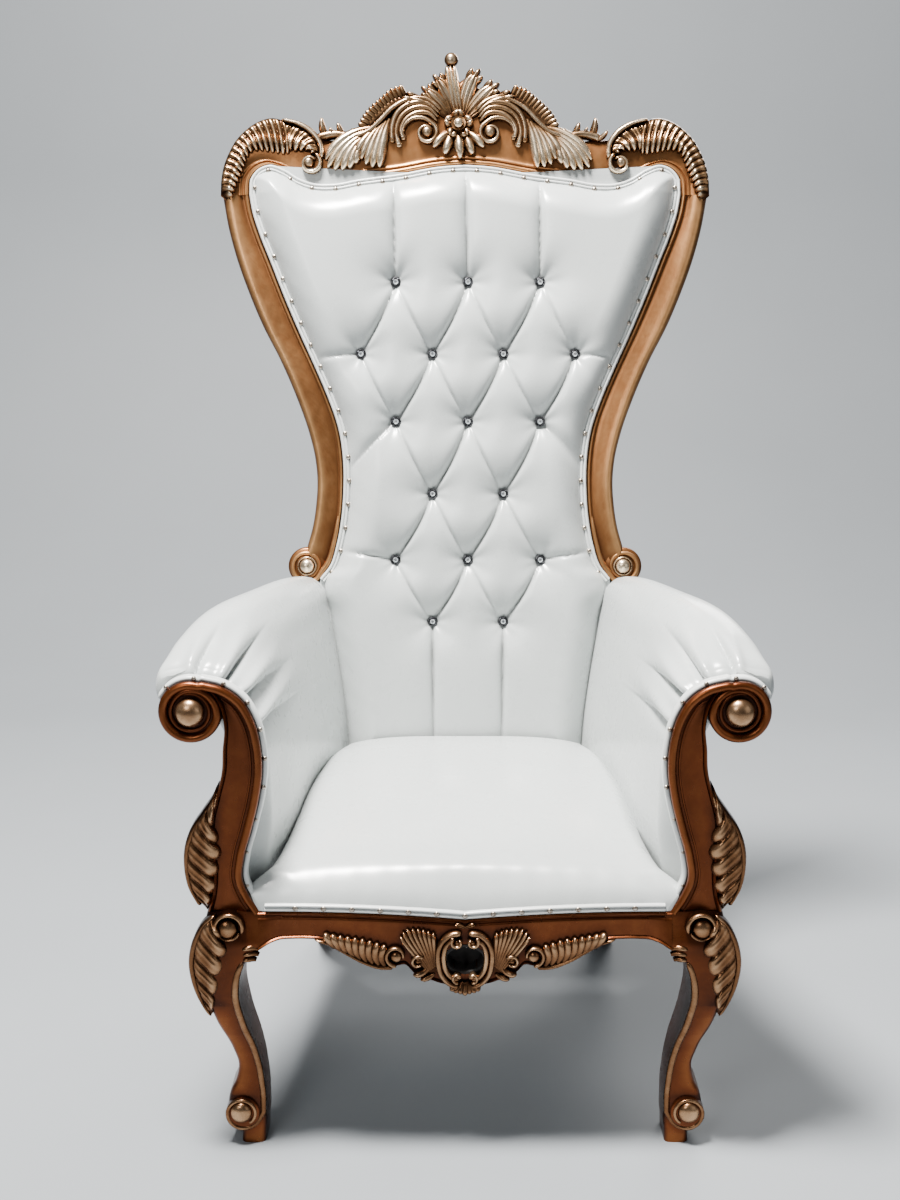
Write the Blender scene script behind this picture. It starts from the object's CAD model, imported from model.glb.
import math

import bmesh
import bpy
import numpy as np
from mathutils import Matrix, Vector


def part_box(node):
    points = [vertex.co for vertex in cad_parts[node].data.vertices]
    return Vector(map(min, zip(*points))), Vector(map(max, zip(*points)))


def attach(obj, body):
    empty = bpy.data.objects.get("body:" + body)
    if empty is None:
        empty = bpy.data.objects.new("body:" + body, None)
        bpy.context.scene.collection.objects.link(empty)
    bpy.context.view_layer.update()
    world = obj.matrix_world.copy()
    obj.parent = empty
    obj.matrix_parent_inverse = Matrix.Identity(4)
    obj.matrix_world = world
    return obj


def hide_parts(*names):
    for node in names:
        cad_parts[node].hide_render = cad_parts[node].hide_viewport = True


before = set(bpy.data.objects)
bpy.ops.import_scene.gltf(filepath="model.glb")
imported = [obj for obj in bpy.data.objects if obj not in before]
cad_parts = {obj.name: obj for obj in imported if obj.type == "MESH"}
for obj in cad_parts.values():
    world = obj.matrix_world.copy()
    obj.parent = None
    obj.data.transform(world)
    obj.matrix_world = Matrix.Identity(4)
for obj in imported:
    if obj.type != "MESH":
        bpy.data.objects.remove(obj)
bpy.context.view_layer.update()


dice = np.random.default_rng(7)

# where the two drawings stand, in metres
apronThickness = 0.045
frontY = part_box("apron")[1].y - apronThickness  # the front plane of arms and apron
backPivot = {"y": frontY + 0.530, "z": 0.600}
lean = math.radians(10)


def onFront(points):
    x, up, out = np.moveaxis(np.asarray(points, float) / 1000, -1, 0)
    return np.stack([x, frontY - out, up], -1)


def onBack(points):
    x, up, out = np.moveaxis(np.asarray(points, float) / 1000, -1, 0)
    y = backPivot["y"] + up * math.sin(lean) - out * math.cos(lean)
    z = backPivot["z"] + up * math.cos(lean) + out * math.sin(lean)
    return np.stack([x, y, z], -1)


def through(points, count):
    # evenly spaced points on a smooth curve through a few points
    points = np.asarray(points, float)
    steps = np.linalg.norm(np.diff(points, axis=0), axis=1)
    knots = np.concatenate([[0], np.cumsum(steps)])
    slope = np.gradient(points, knots, axis=0)
    place = np.linspace(0, knots[-1], 12 * count)
    i = np.clip(np.searchsorted(knots, place, side="right") - 1, 0, len(points) - 2)
    span = (knots[i + 1] - knots[i])[:, None]
    s = (place - knots[i])[:, None] / span
    fine = (
        (1 + 2 * s) * (1 - s) ** 2 * points[i]
        + s * (1 - s) ** 2 * span * slope[i]
        + s * s * (3 - 2 * s) * points[i + 1]
        + s * s * (s - 1) * span * slope[i + 1]
    )
    return spaced(fine, count)


def spaced(path, count):
    path = np.asarray(path, float)
    along = lengthsAlong(path)
    even = np.linspace(0, along[-1], count)
    return np.stack([np.interp(even, along, column) for column in path.T], -1)


def lengthsAlong(path):
    steps = np.linalg.norm(np.diff(path, axis=0), axis=1)
    return np.concatenate([[0], np.cumsum(steps)])


def leftOf(path):
    # unit vectors to the left of a path drawn in elevation
    tangent = np.gradient(np.asarray(path, float)[:, :2], axis=0)
    tangent /= np.maximum(np.linalg.norm(tangent, axis=1, keepdims=True), 1e-9)
    return np.stack([-tangent[:, 1], tangent[:, 0]], -1)


def shiftLeft(path, distance):
    return path[:, :2] + leftOf(path) * np.asarray(distance, float).reshape(-1, 1)


def spiral(centre, radii, degrees, count, ease=1.0):
    t = np.linspace(0, 1, count)
    radius = radii[0] + (radii[1] - radii[0]) * t**ease
    angle = np.radians(degrees[0] + (degrees[1] - degrees[0]) * t)
    return np.stack([centre[0] + radius * np.cos(angle), centre[1] + radius * np.sin(angle)], -1)


def varied(count, values, stops=None):
    # a measure that changes along a run; without stops its values are evenly spread
    if stops is None:
        stops = np.linspace(0, 1, len(values))
    return np.interp(np.linspace(0, 1, count), stops, values)


def smooth(t):
    t = np.clip(t, 0, 1)
    return t * t * (3 - 2 * t)


def faced(points, quads):
    # turns every face outwards
    a, b, c, d = (points[quads[:, k]] for k in range(4))
    normal = np.cross(c - a, d - b)
    middle = (a + b + c + d) / 4 - points.mean(0)
    return points, quads if (middle * normal).sum() > 0 else quads[:, ::-1]


def gridShape(points, around=False):
    rows, columns = points.shape[:2]
    index = np.arange(rows * columns).reshape(rows, columns)
    if around:
        index = np.hstack([index, index[:, :1]])
    corners = [index[:-1, :-1], index[1:, :-1], index[1:, 1:], index[:-1, 1:]]
    quads = np.stack(corners, -1).reshape(-1, 4)
    return faced(points.reshape(-1, 3), quads)


def loft(rings, ladder=False):
    # ends close on their middle; a ladder cap joins the two long sides of a bent section instead
    rings = np.asarray(rings, float)
    if ladder:
        first, last = ((ring + ring[::-1]) / 2 for ring in (rings[0], rings[-1]))
    else:
        first, last = (np.broadcast_to(ring.mean(0), ring.shape) for ring in (rings[0], rings[-1]))
    rings = np.concatenate([first[None], rings, last[None]])
    return gridShape(rings, around=True)


def mirrored(shapes):
    return [(points * [-1, 1, 1], quads[:, ::-1]) for points, quads in shapes]


def bothSides(shapes):
    return [*shapes, *mirrored(shapes)]


def lathe(x, up, profile, around=40, squash=1.0):
    # a turned shape that faces out; the profile holds radius and out
    angle = np.linspace(0, 2 * math.pi, around, endpoint=False)
    rings = [
        np.stack([x + r * np.cos(angle), up + squash * r * np.sin(angle), np.full(around, out)], -1)
        for r, out in profile
    ]
    return gridShape(np.array(rings), around=True)


def ball(x, up, out, radius, flat=0.8):
    turn = np.linspace(0, math.pi, 13)
    profile = [(radius * math.sin(a), out - flat * radius * math.cos(a)) for a in turn]
    return lathe(x, up, profile, around=24)


def bead(path, width, height, out=0.0, sink=3.0, taper=(0, 0), steps=9):
    # a half-round moulding along a path, narrowed to a rounded end where it tapers
    path = np.asarray(path, float)
    count = len(path)
    width, height, out = (np.broadcast_to(value, count).astype(float) for value in (width, height, out))
    along = lengthsAlong(path)
    swell = np.ones(count)
    for reach, distance in zip(taper, (along, along[-1] - along)):
        if reach:
            left = 1 - np.clip(distance / reach, 0, 1)
            swell *= np.sqrt(np.maximum(1 - left**2, 1e-4))
    side = leftOf(path)
    angle = np.linspace(0, math.pi, steps)
    across = np.concatenate([[1.0], np.cos(angle), [-1.0]])
    rise = np.concatenate([[0.0], np.sin(angle), [0.0]])
    ground = np.concatenate([[-1.0], np.zeros(steps), [-1.0]])
    half = (width * swell / 2)[:, None] * across
    points = np.empty((count, steps + 2, 3))
    points[..., :2] = path[:, None] + side[:, None] * half[..., None]
    points[..., 2] = out[:, None] + (height * swell)[:, None] * rise + sink * ground
    return loft(points)


def strip(line, count, widths, height, out, sink, taper, stops=None):
    # a bead along a smooth curve through a few points
    return bead(through(line, count), varied(count, widths, stops), height, out, sink, taper)


def curl(centre, radii, degrees, count, widths, height, out, sink, taper):
    # a bead that winds round a centre
    path = spiral(centre, radii, degrees, count)
    return bead(path, varied(count, widths), height, out, sink, taper)


def lobe(root, bend, tip, width, height, out=0.0, ribs=1, blunt=0.3, neck=0.5):
    # one carved lobe: it rises from its root, swells and curls over at a rounded tip
    stations, steps = 20, 6 * ribs + 5
    start, sink = 0.35, 4.0   # share of the height at the root, depth into the wood
    t = (1 - np.cos(np.linspace(0, math.pi, stations))) / 2
    root, bend, tip = (np.asarray(p, float) for p in (root, bend, tip))
    u = t[:, None]
    path = (1 - u) ** 2 * root + 2 * u * (1 - u) * bend + u * u * tip
    side = leftOf(path)
    ending = np.sqrt(np.maximum(1 - np.clip((t - 1 + blunt) / blunt, 0, 1) ** 2, 0))
    ending = np.maximum(ending, 0.02)
    swell = (neck + (1 - neck) * np.sin(0.5 * math.pi * np.clip(t / 0.6, 0, 1))) * ending
    climb = (start + (1 - start) * smooth(t / 0.85)) * ending**0.6
    across = np.linspace(-1, 1, steps)
    dome = np.sqrt(np.maximum(1 - across**2, 0))
    wave = np.abs(np.sin(ribs * math.pi * (across + 1) / 2)) ** 0.5
    fade = 1 - 0.5 * smooth((t - 0.6) / 0.4)
    carve = 1 - 0.38 * fade[:, None] * (1 - wave) * (dome > 0.2)
    points = np.empty((stations, steps + 2, 3))
    half = width / 2 * swell
    points[:, 1:-1, :2] = path[:, None] + side[:, None] * (half[:, None] * across)[..., None]
    points[:, 1:-1, 2] = out + height * climb[:, None] * dome * carve
    for end, edge in ((0, 1), (-1, -2)):
        points[:, end] = points[:, edge]
        points[:, end, 2] = out - sink
    return loft(points)


def leaf(root, bend, tip, width, fingers, **carving):
    # a leaf of parallel flutes, close together at the root and spread at the tip
    root, bend, tip = (np.asarray(p, float) for p in (root, bend, tip))
    sideOf = leftOf(np.array([root, bend, tip]))
    shapes = []
    for k in range(fingers):
        place = (k + 0.5) / fingers - 0.5
        shorter = 1 - 0.1 * abs(2 * place) ** 1.5 - 0.05 * (k % 2)
        ends = [
            root + sideOf[0] * width * place * 0.55,
            bend + sideOf[1] * width * place * 0.9,
            root + (tip - root) * shorter + sideOf[2] * width * place,
        ]
        shapes.append(lobe(*ends, 1.7 * width / fingers, **carving))
    return shapes


def fluted(roots, bends, tips, count, overlap=1.7, out=0.0, **carving):
    # side-by-side lobes from a line of roots, through a line of bends, to a line of tips
    starts, middles, ends = (
        spaced(through(line, 40) if len(line) > 2 else np.asarray(line, float), count)
        for line in (roots, bends, tips)
    )
    shapes = []
    for k in range(count):
        a, b = max(0, k - 1), min(count - 1, k + 1)
        spacing = np.linalg.norm(middles[b] - middles[a]) + np.linalg.norm(ends[b] - ends[a])
        width = overlap * spacing / (2 * (b - a))
        # every second lobe stands a little higher
        shapes.append(lobe(starts[k], middles[k], ends[k], width, out=out + 0.25 * (k % 2), **carving))
    return shapes


def mouldedBand(inner, outer, near, far, back, middle=8, crown=0.0):
    # a board between two edges: mouldings along both and a field between them
    span = outer - inner
    width = np.linalg.norm(span, axis=1)
    direction = span / np.maximum(width, 1e-6)[:, None]
    near = np.asarray(near, float)
    far = np.asarray(far, float)
    total = near[-1, 0] - far[0, 0]
    squeeze = np.minimum(1, 0.96 * width / total)[:, None]
    start = squeeze * near[:, 0]
    end = width[:, None] + squeeze * far[:, 0]
    t = (np.arange(middle) + 1) / (middle + 1)
    field = start[:, -1:] + (end[:, :1] - start[:, -1:]) * t
    fieldOut = near[-1, 1] + (far[0, 1] - near[-1, 1]) * t + crown * np.sin(math.pi * t)
    offset = np.concatenate([start[:, :1], start, field, end, end[:, -1:]], axis=1)
    level = np.concatenate([[back], near[:, 1], fieldOut, far[:, 1], [back]])
    points = np.empty((len(inner), len(level), 3))
    points[..., :2] = inner[:, None] + direction[:, None] * offset[..., None]
    points[..., 2] = level
    return loft(points)


def reliefMap(shapes, cell=2.5, reach=3, depth=5.0):
    # how far each point stands above the average of what is carved around it
    points = np.vstack([p for p, _ in shapes])
    low = points[:, :2].min(0) - 6 * cell
    size = ((points[:, :2].max(0) - low) / cell).astype(int) + 8
    top = np.full(size, -1000.0)
    at = ((points[:, :2] - low) / cell).astype(int)
    np.maximum.at(top, (at[:, 0], at[:, 1]), points[:, 2])
    known = (top > -999).astype(float)
    total = np.where(known > 0, top, 0.0)
    for _ in range(2):
        for axis in (0, 1):
            total = sum(np.roll(total, k, axis) for k in range(-reach, reach + 1))
            known = sum(np.roll(known, k, axis) for k in range(-reach, reach + 1))
    level = total / np.maximum(known, 0.001)

    def relief(points):
        at = ((points[:, :2] - low) / cell).astype(int)
        at = np.clip(at, 0, np.array(size) - 1)
        return np.clip((points[:, 2] - level[at[:, 0], at[:, 1]]) / depth, -1, 1)

    return relief


def addObject(name, data):
    thing = bpy.data.objects.new(name, data)
    bpy.context.scene.collection.objects.link(thing)
    return thing


def makePiece(name, parts, place, slot, nodes, relief=None, sharpAngle=50, fill=None):
    # parts pair a list of shapes with their material
    points, quads, tone, fills = [], [], [], []
    start = 0
    for number, (shapes, _) in enumerate(parts):
        for shapePoints, shapeQuads in shapes:
            points.append(place(shapePoints))
            quads.append(shapeQuads + start)
            fills.append(np.full(len(shapeQuads), number))
            tone.append(relief(shapePoints) if relief else np.zeros(len(shapePoints)))
            start += len(shapePoints)
    points, quads = np.vstack(points), np.vstack(quads)
    mesh = bpy.data.meshes.new(name)
    mesh.from_pydata(points.tolist(), [], quads.tolist())
    for _, material in parts:
        mesh.materials.append(material)
    mesh.polygons.foreach_set("material_index", np.concatenate(fills).astype(np.int32))
    layer = mesh.attributes.new("relief", "FLOAT", "POINT")
    layer.data.foreach_set("value", np.concatenate(tone).astype(np.float32))
    welded = bmesh.new()
    welded.from_mesh(mesh)
    bmesh.ops.remove_doubles(welded, verts=welded.verts, dist=2e-5)
    welded.to_mesh(mesh)
    welded.free()
    mesh.validate()
    mesh.polygons.foreach_set("use_smooth", np.ones(len(mesh.polygons), bool))
    mesh.set_sharp_from_angle(angle=math.radians(sharpAngle))
    thing = addObject(name, mesh)
    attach(thing, "root")
    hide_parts(*nodes)


def makePair(*layers, place=onFront, node=None, **how):
    # right-hand pieces, then their mirror images; {} in a name stands for the side
    for side, word in ((1, "right"), (-1, "left")):
        for name, shapes, finish, slot, relief in layers:
            handed = shapes if side > 0 else mirrored(shapes)
            # both sides look up the relief of the right-hand one
            tone = relief and (lambda points: relief(points * [side, 1, 1]))
            stoodFor = (node or name.rpartition("_")[0]).format(word)
            makePiece(name.format(word), [(handed, finish)], place, slot, [stoodFor], tone, **how)


padding = {"sharpAngle": 70, "fill": 0.6}


def makePadded(name, shape, place, node, relief=None):
    makePiece(name, [([shape], leather)], place, "white_leather", [node], relief, **padding)


def newMaterial(name, settings):
    material = bpy.data.materials.new(name)
    material.use_nodes = True
    tree = material.node_tree
    shader = tree.nodes["Principled BSDF"]
    for socket, value in settings.items():
        shader.inputs[socket].default_value = value
    return material, tree, shader


def noiseNode(tree, scale, detail=4.0, roughness=0.55, stretch=(1, 1, 1)):
    place = tree.nodes.new("ShaderNodeTexCoord")
    mapping = tree.nodes.new("ShaderNodeMapping")
    mapping.inputs["Scale"].default_value = stretch
    noise = tree.nodes.new("ShaderNodeTexNoise")
    noise.inputs["Scale"].default_value = scale
    noise.inputs["Detail"].default_value = detail
    noise.inputs["Roughness"].default_value = roughness
    tree.links.new(place.outputs["Object"], mapping.inputs["Vector"])
    tree.links.new(mapping.outputs["Vector"], noise.inputs["Vector"])
    return noise.outputs["Fac"]


def rampNode(tree, source, stops):
    ramp = tree.nodes.new("ShaderNodeValToRGB")
    elements = ramp.color_ramp.elements
    while len(elements) < len(stops):
        elements.new(0.5)
    for element, (place, colour) in zip(elements, stops):
        element.position = place
        element.color = (*colour, 1)
    tree.links.new(source, ramp.inputs["Fac"])
    return ramp.outputs["Color"]


def cloudedNode(tree, base, scale, dark, light):
    # a colour that slow, cloudy patches darken a little
    cloud = rampNode(tree, noiseNode(tree, scale, 3), [(0.3, dark), (0.7, light)])
    mix = tree.nodes.new("ShaderNodeMix")
    mix.data_type = "RGBA"
    mix.blend_type = "MULTIPLY"
    mix.inputs[0].default_value = 1.0
    tree.links.new(base, mix.inputs[6])
    tree.links.new(cloud, mix.inputs[7])
    return mix.outputs[2]


def rangeNode(tree, source, low, high, fromLow=0.0, fromHigh=1.0):
    change = tree.nodes.new("ShaderNodeMapRange")
    limits = {"From Min": fromLow, "From Max": fromHigh, "To Min": low, "To Max": high}
    for socket, value in limits.items():
        change.inputs[socket].default_value = value
    tree.links.new(source, change.inputs["Value"])
    return change.outputs["Result"]


def bumpNode(tree, source, strength, distance):
    bump = tree.nodes.new("ShaderNodeBump")
    bump.inputs["Strength"].default_value = strength
    bump.inputs["Distance"].default_value = distance
    tree.links.new(source, bump.inputs["Height"])
    return bump.outputs["Normal"]


def reliefValue(tree):
    attribute = tree.nodes.new("ShaderNodeAttribute")
    attribute.attribute_name = "relief"
    return rangeNode(tree, attribute.outputs["Fac"], 0, 1, -1, 1)


def metalPaint(name, dark, middle, bright, look):
    # dark in the hollows and bright on the raised edges, as rubbed by hand
    material, tree, shader = newMaterial(name, {"Metallic": look["metal"]})
    relief = reliefValue(tree)
    spots = noiseNode(tree, look["spotScale"], 6, 0.62)
    wear = tree.nodes.new("ShaderNodeMath")
    wear.operation = "ADD"
    tree.links.new(relief, wear.inputs[0])
    tree.links.new(rangeNode(tree, spots, -look["wear"], look["wear"]), wear.inputs[1])
    stops = [(look["darkAt"], dark), (look["middleAt"], middle), (look["brightAt"], bright)]
    tone = rampNode(tree, wear.outputs[0], stops)
    colour = cloudedNode(tree, tone, 7.0, (0.78, 0.75, 0.72), (1.08, 1.06, 1.04))
    tree.links.new(colour, shader.inputs["Base Color"])
    fine = noiseNode(tree, 90, 5)
    rough = rangeNode(tree, fine, look["rough"] - 0.08, look["rough"] + 0.12)
    tree.links.new(rough, shader.inputs["Roughness"])
    brush = noiseNode(tree, 160, 3, 0.6, look["brush"])
    tree.links.new(bumpNode(tree, brush, look["bump"], 0.0006), shader.inputs["Normal"])
    return material


backPaintLook = {
    "metal": 0.82, "rough": 0.33, "spotScale": 42, "wear": 0.14, "bump": 0.22, "brush": (1, 1, 0.16),
    "darkAt": 0.10, "middleAt": 0.46, "brightAt": 0.92,
}
frontPaintLook = {**backPaintLook, "rough": 0.28, "spotScale": 55}
giltLook = {
    "metal": 0.94, "rough": 0.25, "spotScale": 95, "wear": 0.14, "bump": 0.3, "brush": (1, 1, 1),
    "darkAt": 0.24, "middleAt": 0.52, "brightAt": 0.95,
}
copperPaint = metalPaint(
    "copper paint", (0.11, 0.036, 0.011), (0.33, 0.142, 0.050), (0.66, 0.38, 0.17), backPaintLook
)
postPaint = metalPaint(
    "aged copper paint", (0.10, 0.033, 0.010), (0.25, 0.105, 0.036), (0.56, 0.31, 0.135), backPaintLook
)
deepCopperPaint = metalPaint(
    "deep copper paint", (0.030, 0.007, 0.002), (0.125, 0.032, 0.008), (0.27, 0.092, 0.026), frontPaintLook
)
giltPaint = metalPaint(
    "champagne gilding", (0.060, 0.024, 0.010), (0.33, 0.19, 0.092), (0.90, 0.75, 0.55), giltLook
)
bronzeGilt = metalPaint(
    "bronze gilding", (0.042, 0.015, 0.006), (0.185, 0.088, 0.040), (0.52, 0.33, 0.19), giltLook
)


def whiteLeather(name, tint, look):
    # grain, fine wrinkles and a soft coat; the tint darkens in the folds
    material, tree, shader = newMaterial(name, look["coat"])
    relief = reliefValue(tree)
    stops = [(place, tuple(share * c for c in tint)) for place, share in look["folds"]]
    base = rampNode(tree, relief, stops)
    colour = cloudedNode(tree, base, 6.0, (0.955, 0.962, 0.965), (1, 1, 1))
    tree.links.new(colour, shader.inputs["Base Color"])
    place = tree.nodes.new("ShaderNodeTexCoord")
    grain = tree.nodes.new("ShaderNodeTexVoronoi")
    grain.inputs["Scale"].default_value = look["grainScale"]
    tree.links.new(place.outputs["Object"], grain.inputs["Vector"])
    wrinkle = noiseNode(tree, look["wrinkleScale"], 5, 0.5)
    both = tree.nodes.new("ShaderNodeMath")
    both.operation = "MULTIPLY_ADD"
    tree.links.new(grain.outputs["Distance"], both.inputs[0])
    both.inputs[1].default_value = look["grain"]
    tree.links.new(wrinkle, both.inputs[2])
    tree.links.new(bumpNode(tree, both.outputs[0], look["bump"], 0.0012), shader.inputs["Normal"])
    fine = noiseNode(tree, 40, 4)
    rough = rangeNode(tree, fine, look["rough"] - 0.05, look["rough"] + 0.08)
    tree.links.new(rough, shader.inputs["Roughness"])
    return material


leatherLook = {
    "grainScale": 620, "grain": 0.35, "wrinkleScale": 70, "bump": 0.10, "rough": 0.27,
    "coat": {"Coat Weight": 0.5, "Coat Roughness": 0.24, "Sheen Weight": 0.08, "Specular IOR Level": 0.5},
    "folds": [(0.10, 0.60), (0.36, 0.94), (0.50, 1)],   # how much of the tint stays, from deep to flat
}
leather = whiteLeather("white faux leather", (0.52, 0.55, 0.545), leatherLook)
welt = whiteLeather("white welt", (0.64, 0.66, 0.65), {**leatherLook, "rough": 0.30})


def speckledFinish(name, specks, stops, rough, settings):
    # fine specks of two shades; the sheen changes with them
    material, tree, shader = newMaterial(name, settings)
    noise = noiseNode(tree, *specks)
    tree.links.new(rampNode(tree, noise, stops), shader.inputs["Base Color"])
    tree.links.new(rangeNode(tree, noise, *rough), shader.inputs["Roughness"])
    return material


nail = speckledFinish(
    "antique nail metal", (260, 4), [(0.35, (0.16, 0.12, 0.09)), (0.62, (0.62, 0.55, 0.47))],
    (0.42, 0.22), {"Metallic": 1.0}
)
crystal = speckledFinish(
    "foiled crystal", (300, 2), [(0.35, (0.42, 0.46, 0.52)), (0.65, (0.93, 0.95, 0.97))],
    (0.05, 0.14), {"Metallic": 0.85, "Coat Weight": 1.0, "Coat Roughness": 0.02}
)
bezelMetal = speckledFinish(
    "gunmetal bezel", (300, 3), [(0.35, (0.035, 0.036, 0.040)), (0.65, (0.16, 0.16, 0.17))],
    (0.22, 0.34), {"Metallic": 0.95}
)
hollowBlack = speckledFinish(
    "dark hollow", (60, 4), [(0.4, (0.004, 0.003, 0.003)), (0.7, (0.016, 0.012, 0.010))],
    (0.6, 0.8), {}
)
print("materials ready")

# heights and outlines that neighbouring pieces share, on the right side
seatLine = 363
seatHalfWidth = 276
legJoint = 290
seatDip = 12
shoulder = 786
padFoot = -222

postInnerEdge = [
    (366, shoulder), (361, 757), (348, 716), (331, 673), (306, 609), (281, 550), (254, 490),
    (233, 440), (216, 389), (208, 329), (208, 287), (212, 236), (220, 193), (231, 159), (248, 137),
]
postOuterEdge = [
    (412, shoulder), (402, 730), (388, 678), (370, 627), (345, 567), (315, 508), (286, 440),
    (268, 389), (256, 338), (253, 302), (255, 265), (261, 225), (270, 192),
]
archEdge = [
    (0, 837), (42, 834), (110, 822), (178, 813), (225, 805), (255, 806), (280, 814), (305, 829),
    (330, 837), (350, 830), (363, 814), (366, shoulder),
]
crestTopEdge = [
    (0, 985), (24, 968), (62, 950), (110, 935), (150, 905), (185, 880), (215, 880), (255, 884),
    (283, 900), (320, 907), (358, 892), (388, 862), (405, 828), (412, shoulder),
]
armInnerEdge = [
    (legJoint, seatLine), (305, 388), (313, 411), (310, 441), (298, 485), (287, 529), (281, 573),
    (283, 609), (293, 648), (309, 674), (333, 691), (363, 699),
]
armVolute = (379, 655)


def apronTop(x):
    return seatLine - seatDip * (1 - np.abs(x) / seatHalfWidth) ** 2


# a moulding is a row of pairs: distance from the edge, and out
crestLook = {
    "edgeMoulding": [
        (0, -7), (1, -2), (3, 0.6), (5.5, 1.6), (8, 0.4), (9.2, -2), (10.4, -2.2), (11.6, -0.2),
        (13.2, 0.6), (15, -0.2), (17, -0.8),
    ],
    "outerRound": [(-9, -0.5), (-4, -2.5), (-1, -7), (0, -13)],
    "thickness": 50, "gadroons": 19, "aside": 11, "rosette": (0, 903, 24),
}


def crestBoard():
    look = crestLook
    inner, outer = through(archEdge, 170), through(crestTopEdge, 170)
    half = mouldedBand(inner, outer, look["edgeMoulding"], look["outerRound"], -look["thickness"], 22, 2.0)
    return bothSides([half])


def rosette(x, up, radius):
    # five cupped petals round a button
    shapes = [ball(x, up, 17, 0.34 * radius)]
    shapes.append(lathe(x, up, [(0, 12), (0.5 * radius, 15), (0.62 * radius, 6)]))
    middle = np.array([x, up])
    for angle in np.radians(90 + 72 * np.arange(5)):
        turn = np.array([math.cos(angle), math.sin(angle)])
        root, tip = middle + 0.2 * radius * turn, middle + 1.05 * radius * turn
        petal = lobe(root, (root + tip) / 2, tip, 1.05 * radius, 13, out=4, ribs=2, blunt=0.5, neck=0.8)
        shapes.append(petal)
    return shapes


def shifted(shapes, distance):
    return [(points + [distance, 0, 0], quads) for points, quads in shapes]


def middleFan():
    # leaves that curl outwards on both sides of the middle feather, with notched tips
    shapes = []
    bands = [
        ((8, 921), (10, 962), (32, 990), 27), ((14, 920), (36, 950), (63, 968), 27),
        ((20, 918), (46, 943), (88, 949), 24), ((-8, 921), (-14, 958), (-38, 981), 26),
        ((-14, 920), (-32, 944), (-57, 962), 25), ((-20, 918), (-46, 941), (-88, 947), 22),
    ]
    for root, bend, tip, width in bands:
        shapes.append(lobe(root, bend, tip, width, 12, out=2, ribs=3, blunt=0.4, neck=0.55))
        run = np.subtract(tip, bend) / math.dist(tip, bend)
        cross = np.array([-run[1], run[0]])
        for side in (-1, 0, 1):
            start = tip - (24 - 4 * abs(side)) * run + 0.26 * side * width * cross
            end = tip + (8 - 7 * abs(side)) * run + 0.42 * side * width * cross
            middle = (start + end) / 2 - 0.06 * side * width * cross
            shapes.append(lobe(start, middle, end, 0.50 * width, 12, out=3, blunt=0.75, neck=0.6))
    # the middle feather leans to one side and carries a bead
    feather = [[(-5, 920), (6, 920)], [(-15, 960), (-4, 962)], [(-20, 1001), (-8, 1002)]]
    shapes += fluted(*feather, 3, 2.0, height=15, out=3, blunt=0.25, neck=0.7)
    shapes.append(ball(-12, 1011, 5, 12, 0.95))
    return shapes


def scrollSide():
    # a scroll beside the rosette, with its ribs, feathered edge and drooping leaves
    ring = spiral((54, 889), (18, 9), (130, 530), 80)
    lead = through([(96, 884), (92, 900), (76, 913), (58, 913), ring[0]], 40)
    path = np.vstack([lead[:-1], ring])
    shapes = [bead(path, varied(len(path), (7, 9, 5), (0, 0.3, 1)), 7, 5, 9, (6, 8)), ball(53, 891, 6, 9.5)]
    arches = [
        [(35, 907), (50, 921), (73, 921), (91, 908), (97, 893), (94, 880)],
        [(33, 914), (52, 930), (78, 929), (97, 915), (105, 893), (101, 868)],
        [(31, 921), (54, 938), (82, 937), (103, 922), (112, 899), (112, 876)],
    ]
    for line in arches:
        shapes.append(strip(line, 60, (6, 11, 9), 7, 5.5, 9, (16, 4), (0, 0.3, 1)))
        shapes.append(ball(line[-1][0], line[-1][1] + 2, 5, 5.5))
    spine = [(28, 927), (56, 946), (86, 944), (112, 930), (131, 911), (152, 892), (176, 882)]
    shapes.append(strip(spine, 80, (9,), 7, 5, 9, (16, 10)))
    shapes.append(strip([(78, 946), (108, 940), (134, 920), (154, 900)], 50, (20,), 6, 0, 9, (8, 8)))
    # feathered top edge
    shapes += fluted(
        [(84, 942), (112, 929), (132, 909), (150, 894)], [(92, 954), (116, 944), (138, 926), (156, 904)],
        [(99, 970), (116, 964), (132, 950), (148, 936), (162, 920), (170, 904)], 13,
        1.3, height=7, out=2, blunt=0.2)
    # drooping groups
    shapes += fluted(
        [(116, 912), (138, 896)], [(128, 885), (160, 882)], [(134, 831), (150, 832), (173, 853)],
        5, 1.75, height=13, out=4)
    shapes += fluted(
        [(138, 898), (152, 878)], [(198, 894), (172, 864)],
        [(225, 843), (220, 829), (203, 827), (190, 827), (174, 837)], 6, 1.75, height=13, out=3)
    # spiky leaf in the valley
    shapes.append(strip([(158, 886), (185, 885), (210, 888), (240, 882)], 50, (14,), 8, 0, 9, (10, 6)))
    for root, bend, tip, width in (
        ((222, 880), (233, 896), (231, 915), 15), ((196, 880), (199, 894), (205, 907), 13),
        ((234, 878), (248, 884), (252, 894), 10), ((176, 882), (174, 890), (181, 897), 10),
        ((212, 882), (214, 892), (218, 899), 9),
    ):
        shapes.append(lobe(root, bend, tip, width, 9, out=2, blunt=0.85))
    return shapes


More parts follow.
